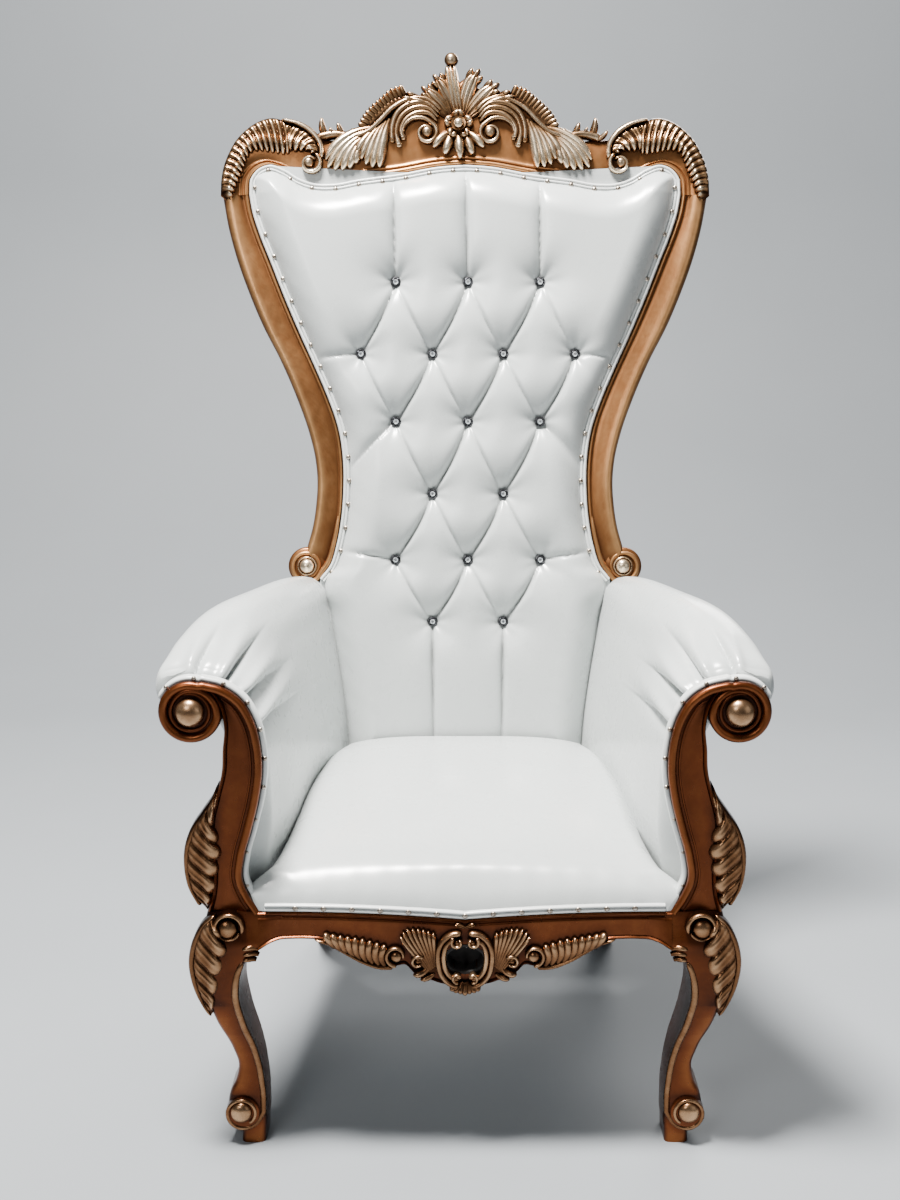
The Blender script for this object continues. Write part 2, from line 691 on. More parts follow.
def shoulderSide():
    # ribs all round the shoulder, from the silhouette inwards
    outer = [
        (276, 892), (290, 903), (308, 911), (326, 915), (342, 912), (357, 905), (373, 893), (388, 877),
        (400, 856), (408, 836), (413, 810), (414, 784),
    ]
    inner = [
        (288, 862), (303, 853), (316, 855), (330, 857), (341, 859), (350, 859), (359, 857), (367, 848),
        (373, 832), (380, 815), (388, 795), (397, 770),
    ]
    shapes = shellLeaf(outer, inner, crestLook["gadroons"], 14, (1, 1), -1.6, 1)
    # hood over the shoulder scroll, which ends in a knob
    shapes += shellLeaf(
        [(312, 908), (290, 903), (268, 893), (252, 876), (244, 852)],
        [(300, 862), (288, 858), (276, 858), (266, 858), (258, 850)], 5, 13, (2, 4), -1.2, 2)
    hood = [(310, 911), (282, 904), (258, 889), (244, 868), (242, 846)]
    shapes.append(strip(hood, 50, (6, 11, 9), 10, 5, 9, (10, 8)))
    shapes.append(curl((261, 838), (17.5, 9), (110, 510), 90, (8.5, 5), 8, 5, 9, (8, 6)))
    shapes.append(ball(264, 840, 6, 9))
    return shapes


def underLeaves():
    # two small fans and a drop below the rosette
    shapes = [lobe((0, 892), (1, 872), (3, 846), 22, 16, out=4, blunt=0.75)]
    for side in (-1, 1):
        for x, up, width in ((24, 853, 21), (43, 864, 20)):
            bend, tip = (side * 0.72 * x, up + 19), (side * x, up)
            shapes.append(lobe((side * 10, 892), bend, tip, width, 14, out=3, blunt=0.7))
    return shapes


def crestCarving():
    middle = bothSides(scrollSide()) + middleFan() + underLeaves() + rosette(*crestLook["rosette"])
    # the middle of the crest sits a little to one side, as carved
    return shifted(middle, -crestLook["aside"]) + bothSides(shoulderSide())


def makeCrest():
    board, carving = crestBoard(), crestCarving()
    for name, shapes, finish, slot, depth in (
        ("crest_board", board, copperPaint, "frame_copper", 18),
        ("crest_carving", carving, giltPaint, "gilt_carving", 6),
    ):
        relief = reliefMap(board + carving, depth=depth)
        makePiece(name, [(shapes, finish)], onBack, slot, ["crest"], relief)
    print("crest carved from", len(carving), "shapes")


postLook = {
    "innerMoulding": [(0, -8), (1, -3), (3, 0), (5.5, 1), (8, -0.5), (9.5, -3.5), (12, -4), (16, -2.5)],
    "outerRoll": [(-24, 1.5), (-17, 3.2), (-10, 3), (-5, 0), (-1.5, -5), (0, -12)],
    "thickness": 50, "volute": (270, 157),
    "disc": [(0, -46), (32, -46), (33, -12), (32, -4), (29, -1.5), (0, -2)],
}


def makePosts():
    look = postLook
    inner, outer = through(postInnerEdge, 150), through(postOuterEdge, 150)
    band = mouldedBand(inner, outer, look["innerMoulding"], look["outerRoll"], -look["thickness"], 4)
    x, up = look["volute"]
    disc = lathe(x, up, look["disc"], 56)
    # the roll comes down the inner edge, passes under the eye and winds round it
    descent = shiftLeft(inner[-26:], 5)
    winding = spiral((x, up), (27.5, 18), (222, 632), 90)
    roll = spaced(np.vstack([descent[:-3], winding[2:]]), 120)
    width = varied(120, (7, 10, 6), (0, 0.4, 1))
    scroll = bead(roll, width, 0.55 * width, -1.5, 4, (30, 8))
    relief = reliefMap([band, disc, scroll], depth=5)
    wood = [band, disc, scroll, stileBehindPost()]
    eye = [ball(x, up, 2, 12.5), bead(spiral((x, up), (15, 15), (0, 355), 40), 3.5, 3, 0.5, 3)]
    makePair(
        ("back_post_{}_wood", wood, postPaint, "frame_copper", relief),
        ("back_post_{}_eye", eye, giltPaint, "gilt_carving", relief),
        place=onBack,
    )
    print("posts moulded")


def stileBehindPost():
    # the plain upright behind the carved post that stands on the rear leg
    footUp = (seatLine + 0.3 - 600) / math.cos(lean)
    levels = through([
        (footUp, 250, 290, -95, -2), (60, 250, 290, -92, -2), (128, 252, 288, -84, -12),
        (165, 239, 277, -76, -16), (200, 225, 263, -68, -20), (300, 213, 249, -54, -30),
    ], 30)
    rings = []
    for up, left, right, back, front in levels:
        corners = roundedCorners(left, right, back, front, 6)
        drop = np.where(up < -150, math.tan(lean), 0.0)
        rings.append([(x, up - drop * (out + 2) * smooth((-150 - up) / 100), out) for x, out in corners])
    return loft(rings)


def roundedCorners(left, right, back, front, corner, steps=5):
    # a rounded rectangle as across and out, corner by corner
    points = []
    centres = [
        (right - corner, front - corner, 0), (left + corner, front - corner, 90),
        (left + corner, back + corner, 180), (right - corner, back + corner, 270),
    ]
    for x, out, start in centres:
        for angle in np.radians(np.linspace(start, start + 90, steps)):
            points.append((x + corner * math.cos(angle), out + corner * math.sin(angle)))
    return points


armFrontLook = {
    "innerField": [(0, -9), (1.5, -5), (5, -4.6), (16, -5.2), (20, -4.2)],
    "outerBead": [(-7.5, -4.2), (-6.5, -5.5), (-5, -1.5), (-3, 0.6), (-1.2, -0.8), (0, -5)],
    "outerEdge": [
        (364, seatLine), (358, 388), (355, 420), (357, 460), (357, 495), (348, 530), (338, 570),
        (336, 600), (333, 630), (338, 662), (350, 684), (364, 692),
    ],
    "disc": [(0, -31), (43, -31), (44, -12), (43, -6), (38, -5), (0, -5)],
    "thickness": 32, "rollWidth": 13,
}


def armFrontShapes():
    look = armFrontLook
    inner = through(armInnerEdge, 130)
    outer = through(look["outerEdge"], 130)
    board = mouldedBand(inner, outer, look["innerField"], look["outerBead"], -look["thickness"], 10, -1.2)
    disc = lathe(*armVolute, look["disc"], 72)
    # the roll climbs the inner edge, goes over the volute and winds in to its eye
    climb = shiftLeft(inner[:-1], -look["rollWidth"] / 2)
    over = spiral(armVolute, (37.6, 37.6), (112, -170), 110)
    wind = spiral(armVolute, (37.6, 27), (-170, -330), 50, 0.9)[1:]
    close = spiral(armVolute, (27, 26), (-330, -650), 90)[1:]
    path = spaced(np.vstack([climb, over[2:], wind, close]), 420)
    width = varied(420, (11, 13, 12, 7, 5.5), (0, 0.55, 0.72, 0.82, 1))
    roll = bead(path, width, 0.55 * width, -4.5, 3, (0, 8), 13)
    second = bead(shiftLeft(inner[:118], -17), 3.6, 2.2, -5, 2, (4, 20))
    return [board, disc, roll, second]


def shellLeaf(outer, inner, lobes, height, outs, skew=1.0, flutes=3):
    # overlapping shells between an outer edge and a scalloped inner one, fluted along their length
    rows, columns = 26 * lobes, 22
    outer, inner = through(outer, rows), through(inner, rows)
    v = np.concatenate([[0.0], np.linspace(0, 1, columns), [1.0]])
    u = np.linspace(0, 1, rows)[:, None]
    place = (u * lobes + skew * (1 - v) ** 1.3) % 1.0
    bulge = np.sin(math.pi * place) ** 0.5
    reach = v * (0.86 + 0.16 * bulge * smooth(v))
    flat = outer[:, None] + (inner - outer)[:, None] * reach[..., None]
    crown = np.sqrt(np.clip(1 - np.clip(1 - v / 0.3, 0, 1) ** 2, 0, 1))
    turn = np.sqrt(np.clip(1 - np.clip((v - 0.72) / 0.28, 0, 1) ** 2, 0, 1))
    grooves = 1 - 0.34 * np.abs(np.cos(flutes * math.pi * place)) ** 2 * smooth(1.9 - 2 * v)
    swell = (0.56 + 0.44 * bulge * grooves) * (0.75 + 0.35 * np.exp(-(((v - 0.72) / 0.2) ** 2)))
    ends = smooth(u * 9) * smooth((1 - u) * 9)
    base = np.interp(u, [0, 1], outs)
    z = base + height * crown * turn * swell * ends
    z[:, 0] = z[:, -1] = base[:, 0] - 7
    return [gridShape(np.concatenate([flat, z[..., None]], axis=2))]


def armLeaf():
    outer = [
        (347, 540), (356, 523), (371, 502), (383, 481), (390, 458), (393, 432), (390, 408), (382, 386),
        (367, 366),
    ]
    inner = [
        (343, 540), (346, 520), (350, 499), (346, 476), (343, 452), (347, 424), (351, 398), (357, 380),
        (365, 363),
    ]
    spine = [
        (345, 549), (350, 533), (365, 508), (381, 482), (390, 456), (392, 430), (388, 400), (374, 370),
    ]
    shapes = shellLeaf(outer, inner, 7, 12, (-4, -7), 1.2, 2)
    shapes.append(strip(spine, 70, (4, 10, 7), 8, -8, 20, (24, 6), (0, 0.4, 1)))
    return shapes


def makeArmFronts():
    wood = armFrontShapes()
    carving = [*armLeaf(), ball(*armVolute, -1, 20.5, 0.75)]
    everything = wood + carving
    makePair(
        ("arm_front_{}_wood", wood, deepCopperPaint, "frame_copper", reliefMap(everything, depth=8)),
        ("arm_front_{}_carving", carving, bronzeGilt, "gilt_carving", reliefMap(everything, depth=6)),
    )
    print("arm fronts carved")


apronLook = {
    "topMoulding": [(0, -5), (1, -1), (3, 0.8), (5, 0), (6, -2.6), (7.5, -2.4), (9, 0), (11, 0.4)],
    "lowerBead": [(-6.5, 0), (-5.6, -2), (-4.6, 0.6), (-2.8, 2.2), (-1, 1), (0, -3)],
    "lowerEdge": [
        (0, 246), (36, 254), (57, 262), (74, 270), (84, 284), (99, 280), (121, 283), (145, 292),
        (170, 304), (190, 316), (206, 321), (234, 322), (262, 321), (278, 317), (legJoint + 3, 308),
    ],
    "opening": (26, 18.5, 291),   # half width, half height and level of its middle
}


def apronBoard():
    look = apronLook
    x = np.linspace(0, legJoint + 3, 150)
    lowerUp = np.interp(x, *np.array(look["lowerEdge"], float).T)
    for _ in range(4):
        lowerUp[1:-1] = (lowerUp[:-2] + lowerUp[1:-1] + lowerUp[2:]) / 3
    inner = np.stack([x, apronTop(x) - 0.3], -1)
    outer = np.stack([x, lowerUp], -1)
    thickness = 1000 * apronThickness
    points, quads = mouldedBand(inner, outer, look["topMoulding"], look["lowerBead"], -thickness, 16)
    # the face rises at its ends to run into the knees without a step
    knee = np.interp(points[:, 1], [300, 316, 335, 358], [11.5, 10, 6, 1])
    points[:, 2] += knee * smooth((points[:, 0] - 256) / 36) * (points[:, 2] > -12)
    return points, quads


def apronCarving():
    # wing: flutes that hang from bright tips and sweep into a spine, which ends in a scroll
    spine = [(214, 322), (191, 315), (169, 302), (144, 288), (120, 280), (102, 280)]
    inside = [(196, 324), (168, 313), (142, 301), (118, 294)]
    half = [strip(spine, 60, (5, 8), 6, 1, 8, (16, 4))]
    half.append(strip(inside, 50, (8, 22, 16), 5, 0, 8, (8, 4), (0, 0.6, 1)))
    half += fluted(
        [(180, 309), (146, 291), (114, 282)], [(190, 315), (160, 303), (124, 296)],
        [(199, 333), (174, 329), (143, 324), (113, 315)], 9, 1.5, height=9, out=2)
    half.append(curl((98, 298), (15, 10), (-95, 200), 50, (7.5, 5), 7, 3, 8, (4, 4)))
    half.append(ball(98, 297, 3, 9.0))
    # shell fan beside the cartouche
    half.append(lobe((42, 272), (50, 300), (64, 334), 40, 5))
    half += fluted(
        [(52, 274), (42, 282)], [(72, 300), (58, 316), (44, 314)],
        [(92, 328), (86, 337), (73, 340), (58, 338), (45, 334)], 8, 1.55, height=10, out=2)
    half.append(curl((67, 290), (9.5, 5), (150, -160), 36, (6, 4), 6, 6, 6, (4, 4)))
    half.append(ball(67, 290, 5, 4.5))
    half.append(lobe((52, 280), (60, 268), (74, 270), 12, 8, out=3, blunt=0.4))
    half.append(lobe((44, 270), (52, 262), (64, 262), 10, 7, out=2, blunt=0.4))
    # cartouche: two ribs round the opening, curled inwards above and below
    frames = [
        ([(4, 332), (20, 330), (32, 320), (38, 305), (38, 288), (34, 271), (24, 258), (8, 250)], 9.5, 3),
        ([(14, 324), (25, 317), (30, 303), (30, 288), (27, 276), (19, 266), (8, 262)], 8.5, 4),
    ]
    for line, width, out in frames:
        half.append(strip(line, 70, (width,), 0.8 * width, out, 8, (8, 8)))
    half.append(curl((11, 320), (9, 4), (60, -250), 40, (7, 4.5), 7, 6, 8, (3, 3)))
    half.append(ball(11, 319, 6, 4.5))
    half.append(curl((11, 266), (7.5, 3.5), (-110, 200), 40, (6, 4), 7, 6, 8, (3, 3)))
    half.append(ball(10, 267, 6, 4.2))
    drops = [[(2, 258), (6, 254)], [(8, 252), (15, 250)], [(6, 240), (14, 242), (22, 247)]]
    half += fluted(*drops, 3, 1.8, height=8, out=3)
    # a tiny leaf under the middle of the seat
    half += leaf((0, 339), (6, 342), (15, 345), 6, 2, height=4)
    return bothSides(half) + [lobe((0, 258), (0, 250), (0, 238), 12, 9, out=3)]


def makeApron():
    points, quads = apronBoard()
    wide, high, level = apronLook["opening"]
    # the board is sunk behind the oval opening
    inside = ((points[:, 0] / wide) ** 2 + ((points[:, 1] - level) / high) ** 2) < 1
    points[inside & (points[:, 2] > -30), 2] = -28
    board, carving = bothSides([(points, quads)]), apronCarving()
    woodRelief, carvingRelief = (reliefMap(board + carving, depth=depth) for depth in (9, 5.5))
    rim = [(1.2, 0.9), (1.05, 1.0), (1.0, 0), (0.96, -10), (0.9, -23), (0.4, -24), (0, -24)]
    bowl = lathe(0, level, [(wide * r, out) for r, out in rim], 56, high / wide)
    parts = [(board, deepCopperPaint), ([bowl], hollowBlack)]
    makePiece("apron_board", parts, onFront, "frame_copper", ["apron"], woodRelief)
    makePiece("apron_carving", [(carving, bronzeGilt)], onFront, "gilt_carving", ["apron"], carvingRelief)
    print("apron carved from", len(carving), "shapes")


legLook = {
    # up, inner side, outer side, back face, front face
    "levels": [
        (363, 280, 365, -80, 0), (335, 280, 372, -82, 5), (318, 282, 375, -86, 9),
        (302, 303, 375, -88, 11), (280, 316, 374, -90, 12), (245, 323, 371, -90, 10),
        (195, 316, 358, -86, 1), (145, 301, 337, -80, -10), (118, 295, 330, -77, -12),
        (96, 292, 334, -75, -11), (76, 290, 343, -74, -10), (49, 290, 345, -74, -8),
        (30, 290, 334, -72, -7), (22, 291, 328, -72, -6), (0, 292, 327, -70, -6),
    ],
    "footVolute": (324, 48), "kneeVolute": (334, 343),
    "disc": [(0, -56), (23, -56), (25, -14), (24, -5), (20, -2.5), (0, -3)],
}


def upright(levels, corner):
    # a leg as a stack of rounded rectangles
    return loft([
        [(x, up, out) for x, out in roundedCorners(left, right, back, front, corner, 6)]
        for up, left, right, back, front in levels
    ])


def frontLegShapes():
    levels = through(legLook["levels"], 130)
    foot, knee = legLook["footVolute"], legLook["kneeVolute"]
    wood = [upright(levels, 9), lathe(*foot, legLook["disc"], 56)]
    # the gold bead starts at the knot, follows the inner edge and winds round the foot scroll
    run = levels[(levels[:, 0] < 292) & (levels[:, 0] > 46)]
    edge = np.stack([run[:, 1] + 4.5, run[:, 0], run[:, 4]], -1)
    wind = spiral(foot, (27, 17), (200, 600), 100, 0.8)
    windOut = varied(100, (-9, -3, 0), (0, 0.2, 1))
    path = spaced(np.vstack([edge, np.column_stack([wind, windOut])[4:]]), 230)
    width = varied(230, (8, 11, 9, 6.5, 4.5), (0, 0.1, 0.6, 0.75, 1))
    gilt = [bead(path[:, :2], width, 0.45 * width, path[:, 2] - 1.5, 5, (10, 6))]
    gilt.append(ball(foot[0] + 2, foot[1] + 2, -3, 16, 0.6))
    # knots where the bead starts
    for root, bend, tip in (
        ((292, 309), (303, 315), (316, 309)), ((292, 301), (303, 306), (315, 301)),
        ((296, 293), (305, 297), (315, 293)),
    ):
        gilt.append(lobe(root, bend, tip, 10, 8, out=7, blunt=0.45))
    # knee scroll and the leaf that hangs from it
    gilt.append(curl(knee, (20, 17), (-150, -520), 100, (8, 5), 7, 8, 12, (10, 8)))
    gilt.append(ball(knee[0] + 2, knee[1] - 3, 6, 16, 0.65))
    gilt += shellLeaf(
        [(354, 361), (369, 348), (380, 326), (386, 300), (386, 272), (379, 242), (364, 206)],
        [(350, 350), (341, 328), (336, 308), (341, 288), (347, 266), (352, 244), (361, 210)],
        5, 12, (8, 2))
    spine = [(352, 362), (368, 348), (381, 322), (388, 292), (385, 258), (376, 230), (364, 204)]
    out = varied(60, (6, 1))
    gilt.append(strip(spine, 60, (5, 10, 9, 4), 7, out, 14, (8, 14), (0, 0.3, 0.8, 1)))
    return wood, gilt


def makeFrontLegs():
    wood, gilt = frontLegShapes()
    height = reliefMap(wood + gilt, depth=5)

    def relief(points):
        # the side walls lie in the dark
        return height(points) * (0.2 + 0.8 * smooth((points[:, 2] + 24) / 14))

    makePair(
        ("front_leg_{}_wood", wood, deepCopperPaint, "frame_copper", relief),
        ("front_leg_{}_carving", gilt, bronzeGilt, "gilt_carving", relief),
    )
    print("front legs carved")


railLook = {
    "thickness": 30, "foot": 300, "arch": 14,
    "sideX": (348, 282), "sideOut": (-80.3, -544.7),   # from the front leg to the rear one
    "rearOut": (-586, -558), "rearHalf": 235.7,
}


def makeRails():
    look = railLook
    top = seatLine - 0.3
    inside, out = varied(40, look["sideX"]), varied(40, look["sideOut"])
    low = look["foot"] + look["arch"] * np.sin(math.pi * np.linspace(0, 1, 40))
    side = loft([
        [(x, up, depth) for x, up in roundedCorners(edge - look["thickness"], edge, foot, top, 3, 4)]
        for edge, depth, foot in zip(inside, out, low)
    ])
    makePair(("side_rail_{}_wood", [side], deepCopperPaint, "frame_copper", None))
    half = look["rearHalf"]
    rear = loft([
        [(x, up, depth) for depth, up in roundedCorners(*look["rearOut"], look["foot"], top, 3, 4)]
        for x in np.linspace(-half, half, 30)
    ])
    makePiece("rear_rail_wood", [([rear], deepCopperPaint)], onFront, "frame_copper", ["rear_rail"])


rearLegLevels = [
    # up, inner side, outer side, back face, front face
    (362.7, 236, 292, -605, -545), (300, 236, 290, -602, -546), (230, 238, 284, -609, -562),
    (150, 239, 281, -641, -598), (70, 239, 279, -688, -648), (0, 238, 280, -741, -700),
]


def makeRearLegs():
    leg = upright(through(rearLegLevels, 60), 8)
    makePair(("rear_leg_{}_wood", [leg], deepCopperPaint, "frame_copper", None))
    print("rails and rear legs ready")


buttonRows = [
    (637, (-122, 0, 122)), (516, (-181, -60, 60, 181)), (402, (-122, 0, 122)),
    (280, (-60, 60)), (168, (-123, 0, 123)), (63, (-60, 60)),
]
buttonsAside = 5   # the rows sit a little to one side
buttonPlaces = [(x + buttonsAside, up) for up, row in buttonRows for x in row]

backPadLook = {
    "rows": 335, "columns": 288, "rearOut": -46.0,
    "margin": 2.0, "puff": 37.0, "edgeReach": 56.0,
    "tuft": 0.80, "tuftReach": 34.0, "foldReach": (3.0, 8.5), "hollowReach": 25,
    "strongCrease": 0.66, "softCrease": 0.40, "strongSag": 6.0, "softSag": 3.0,
    "pleat": 0.60, "topSlopes": (-3, -4, -1),
    # which row, where the pleat ends, its strength, how much it fades and how far it bows
    "sidePleats": [(1, 258, 508, 0.5, 0.5, 0), (2, 214, 306, 0.8, 0.2, -7), (4, 214, 182, 0.5, 0.5, 0)],
    "pucker": 1.3, "puckerReach": 26, "scallop": 0.8,
}

padSide = [
    *postInnerEdge, (250, 114), (241, 81), (233, 30), (224, -27), (214, -101), (209, -162), (209, padFoot),
]


def padHalfWidth(up):
    side = through(padSide, 400)
    order = np.argsort(side[:, 1])
    return np.interp(up, side[order, 1], side[order, 0])


def archHeight(x):
    arch = through(archEdge[:-1], 300)
    return np.interp(np.abs(x), arch[:, 0], arch[:, 1])


def creaseLines():
    # start, end, strength, how much it fades towards its end, and how far it bows sideways
    look = backPadLook
    lines = []
    for (upA, rowA), (upB, rowB) in zip(buttonRows, buttonRows[1:]):
        for a in rowA:
            for b in rowB:
                if 30 < abs(a - b) < 90:
                    strength, sag = look["softCrease"], look["softSag"]
                    if b < a:
                        strength, sag = look["strongCrease"], -look["strongSag"]
                    lines.append(((a, upA), (b, upB), strength, 0.0, sag))
    # pleats run on from the top and bottom rows, and from the end buttons to the sides
    (topUp, topRow), (lowUp, lowRow) = buttonRows[0], buttonRows[-1]
    for x, slope in zip(topRow, look["topSlopes"]):
        lines.append(((x, topUp), (x + slope, archHeight(x) - 8), look["pleat"], 0.35, 0))
    for x in lowRow:
        lines.append(((x, lowUp), (x * 0.96, padFoot + 60), look["pleat"], 0.6, 0))
    for side in (-1, 1):
        for row, endX, endUp, strength, fade, sag in look["sidePleats"]:
            up, places = buttonRows[row]
            lines.append(((side * places[-1], up), (side * endX, endUp), strength, fade, side * sag))
    aside = np.array([buttonsAside, 0.0])
    return [(np.array(a, float) + aside, np.array(b, float) + aside, *rest) for a, b, *rest in lines]


def padHeights(x, up):
    look = backPadLook
    edge = np.minimum(padHalfWidth(up) - np.abs(x), archHeight(x) - up) - gimpLook["width"]
    edge = np.minimum(edge, (up - padFoot) / 2)
    rise = np.sin(0.5 * math.pi * np.clip(edge / look["edgeReach"], 0, 1)) ** 0.75
    sunk = np.zeros_like(x)
    for start, end, strength, fade, sag in creaseLines():
        along = end - start
        length = np.linalg.norm(along)
        along /= length
        # each fold bows sideways between its ends
        dx, dUp = x - start[0], up - start[1]
        s = np.clip((dx * along[0] + dUp * along[1]) / length, 0, 1)
        bow = sag * np.sin(math.pi * s)
        nearX = dx - s * length * along[0] + bow * abs(along[1])
        nearUp = dUp - s * length * along[1] + abs(bow) * abs(along[0])
        distance = np.hypot(nearX, nearUp)
        # the leather laps over on the right and below, so it is steeper there
        steep = np.where(nearX - nearUp > 0, *look["foldReach"])
        profile = 0.6 * np.exp(-distance / steep) + 0.4 * np.exp(-distance / look["hollowReach"])
        weight = 1 - fade * s if fade else 0.88 + 0.12 * np.cos(2 * math.pi * s)
        sunk += (strength * weight * profile) ** 3
    pucker = np.zeros_like(x)
    for bx, bUp in buttonPlaces:
        dx, dUp = x - bx, up - bUp
        r = np.hypot(dx, dUp)
        sunk += (look["tuft"] * np.exp(-((r / look["tuftReach"]) ** 1.1))) ** 3
        turn = np.arctan2(dUp, dx)
        phase = dice.uniform(0, 6.28)
        pucker += np.exp(-r / look["puckerReach"]) * np.sin(7 * turn + phase) * np.clip(r / 12, 0, 1)
    sunk = np.clip(sunk, 0, 1) ** (1 / 3)
    # the nails along the border pull the leather into shallow scallops
    wave = np.cos(2 * math.pi * (up + 0.8 * x) / gimpLook["nailSpacing"])
    scallop = look["scallop"] * np.exp(-np.maximum(edge, 0) / 14) * wave
    full = look["puff"] * rise * (1 - np.minimum(sunk, 0.75))
    return look["margin"] + full + (look["pucker"] * pucker + scallop) * rise


def backPadShape():
    look = backPadLook
    across = np.linspace(-1, 1, look["columns"])
    crown = archHeight(across * (archEdge[-1][0] - 2)) - 2.5
    t = np.linspace(0, 1, look["rows"])[:, None]
    up = padFoot + (crown[None] - padFoot) * t
    x = across[None] * (padHalfWidth(up) - 2)
    front = np.stack([x, up, padHeights(x, up)], -1)
    rear = np.stack([x, up, np.full_like(x, look["rearOut"])], -1)
    return loft(np.concatenate([front, rear[:, ::-40][:, :6]], axis=1))


def makeBackPad():
    shape = backPadShape()
    relief = reliefMap([shape], cell=4, reach=2, depth=7)
    makePadded("back_pad_leather", shape, onBack, "back_pad", relief)
    print("back pad tufted with", len(buttonPlaces), "buttons")


buttonLook = {
    "radius": 8.8, "seat": 13.0, "facets": 8,
    "gem": [(0.001, 5.4, 0), (0.42, 5.4, 0), (0.72, 3.6, 0.5), (0.84, 1.2, 0), (0.84, -1.5, 0)],
}


def gemShape(x, up, seat, radius, facets):
    # a faceted dome: table, crown facets and girdle, as share of radius, out and turn
    angle = np.linspace(0, 2 * math.pi, facets, endpoint=False)
    rings = []
    for share, out, turn in buttonLook["gem"]:
        a = angle + turn * 2 * math.pi / facets
        level = np.full(facets, seat + out)
        rings.append(np.stack([x + radius * share * np.cos(a), up + radius * share * np.sin(a), level], -1))
    return gridShape(np.array(rings), around=True)


def makeButtons():
    look = buttonLook
    r, seat = look["radius"], look["seat"]
    for number, (x, up) in enumerate(buttonPlaces, 1):
        gem = gemShape(x, up, seat + 1.2, 0.70 * r, look["facets"])
        turn = np.linspace(0, 2 * math.pi, 13)
        rim = [(0.84 * r - 0.17 * r * math.cos(a), seat + 1.8 + 1.7 * math.sin(a)) for a in turn]
        bezel = lathe(x, up, [*rim[6:], *rim[1:7]], 28)
        foot, top = seat - 3, seat + 1
        cup = lathe(x, up, [(0, foot), (r, foot), (r, top), (0.6 * r, top), (0, top)], 28)
        name = f"button_{number:02d}"
        parts = [([gem], crystal), ([bezel, cup], bezelMetal)]
        makePiece(name + "_crystal", parts, onBack, "crystal", [name], None, 25)
    print("buttons set")


gimpLook = {"width": 11.0, "height": 3.4, "nailSpacing": 40.0, "nailRadius": 4.2}


def doubleWelt(path, out, width, height, sink=3.0):
    # two rounded cords side by side, as one band
    path = np.asarray(path, float)
    side = leftOf(path)
    across = np.linspace(-1, 1, 17)
    level = np.abs(np.sin(math.pi * across)) ** 0.7 * height
    across = np.concatenate([[-1], across, [1]])
    level = np.concatenate([[-sink], level, [-sink]])
    points = np.empty((len(path), len(level), 3))
    points[..., :2] = path[:, None, :2] + side[:, None] * (across * width / 2)[None, :, None]
    points[..., 2] = np.broadcast_to(out, len(path))[:, None] + level
    return loft(points)


def dome(x, up, out, radius):
    turn = np.linspace(0, 0.5 * math.pi, 7)
    profile = [(radius * math.sin(a), out + 0.75 * radius * math.cos(a)) for a in turn]
    profile.append((0.92 * radius, out - 0.8))
    return lathe(x, up, profile, 14)


def nailsAlong(path, spacing, out, radius):
    count = int(round(lengthsAlong(path)[-1] / spacing))
    places = spaced(path, 2 * count + 1)[1::2]
    return [dome(x, up, out, radius) for x, up in places]


def makeBackGimp():
    look = gimpLook
    right = np.vstack([through(postInnerEdge, 200)[::-1], through(archEdge, 160)[::-1][1:]])
    whole = spaced(np.vstack([right, (right * [-1, 1])[::-1][1:]]), 700)
    gimp = doubleWelt(shiftLeft(whole, 6.3), 3.0, look["width"], look["height"])
    makePiece("back_gimp_welt", [([gimp], welt)], onBack, "white_gimp", ["back_gimp"], None, 60)
    nails = nailsAlong(shiftLeft(whole, 10.5), look["nailSpacing"], 5.6, look["nailRadius"])
    makePiece("back_nails", [(nails, nail)], onBack, "antique_nail", ["back_gimp"], None, 60)
    print("back gimp with", len(nails), "nails")


seatGimpLook = {"halfLength": 283, "width": 12, "height": 4.0, "nailSpacing": 41, "nailRadius": 4.2}


def makeSeatGimp():
    look = seatGimpLook
    x = np.linspace(-look["halfLength"], look["halfLength"], 200)
    line = np.stack([x, apronTop(x) + 6.2], -1)
    gimp = doubleWelt(line, -1.5, look["width"], look["height"], 8)
    makePiece("seat_gimp_welt", [([gimp], welt)], onFront, "white_gimp", ["seat_gimp"], None, 60)
    nails = nailsAlong(line[8:-8], look["nailSpacing"], 1.2, look["nailRadius"])
    makePiece("seat_nails", [(nails, nail)], onFront, "antique_nail", ["seat_gimp"], None, 60)


def makeArmGimps():
    edge = through(armInnerEdge, 160)
    over = spiral(armVolute, (44, 44), (112, 20), 40)[2:]
    line = shiftLeft(spaced(np.vstack([edge, over]), 200), 2.2)
    arch = shiftLeft(spaced(np.vstack([edge[70:], over]), 90), 3.0)
    lower = shiftLeft(edge[6:70], 1.6)
    nails = nailsAlong(arch, 41, -8.8, 3.6) + nailsAlong(lower, 44, -9.4, 3.0)
    cord = bead(line, 8, 5, -13, 8, (0, 10))
    makePair(
        ("arm_gimp_{}_welt", [cord], welt, "white_gimp", None),
        ("arm_nails_{}", nails, nail, "antique_nail", None),
        node="arm_gimp_{}", sharpAngle=60,
    )
    print("seat and arm gimps nailed")


seatLook = {
    # depth from the front, height at the middle, height at the sides, half width
    "profile": [
        (1, 366, 366, 286), (4, 380, 379, 296), (12, 396, 392, 306), (26, 410, 403, 307),
        (60, 428, 417, 284), (120, 448, 434, 266), (190, 463, 448, 257), (260, 473, 457, 252),
        (340, 480, 463, 241), (420, 483, 465, 225), (462, 481, 462, 211),
    ],
    "rows": 150, "columns": 150, "edgeDrop": 17.0,
    "ripple": 0.8, "cornerX": 262, "cornerFold": 1.6,
}


